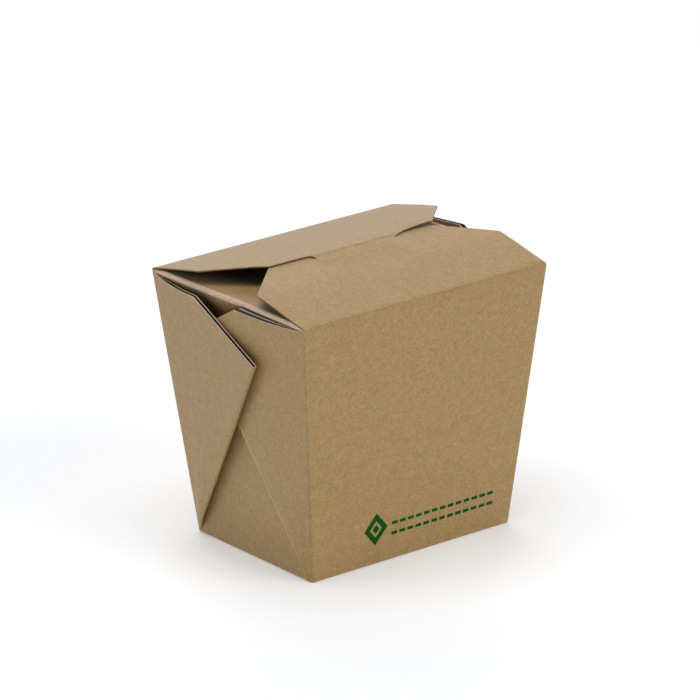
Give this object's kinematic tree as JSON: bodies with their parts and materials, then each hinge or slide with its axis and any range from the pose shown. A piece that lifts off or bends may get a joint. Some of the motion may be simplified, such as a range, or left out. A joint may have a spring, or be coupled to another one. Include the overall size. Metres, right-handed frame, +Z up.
{
  "type": "noodle takeaway box",
  "caption": "Shut kraft paperboard noodle carton: tapered walls, webs folded flat onto the ends, tucked end flaps and a low roof of main flaps locked by a tongue in a slit.",
  "frame": {"origin": "middle of the base, on the surface that the box stands on", "axes": "+Z up; +X along the front wall, to the right of a viewer who faces it; the plain front wall faces -Y"},
  "size_m": [0.115, 0.087, 0.1062],
  "materials": {
    "kraft_board": "matt uncoated kraft paperboard with fine fibre speckle, pale at its cut edges, with a thin grey lining inside"
  },
  "bodies": {
    "root": {"carton": "kraft_board"}
  },
  "joints": []
}
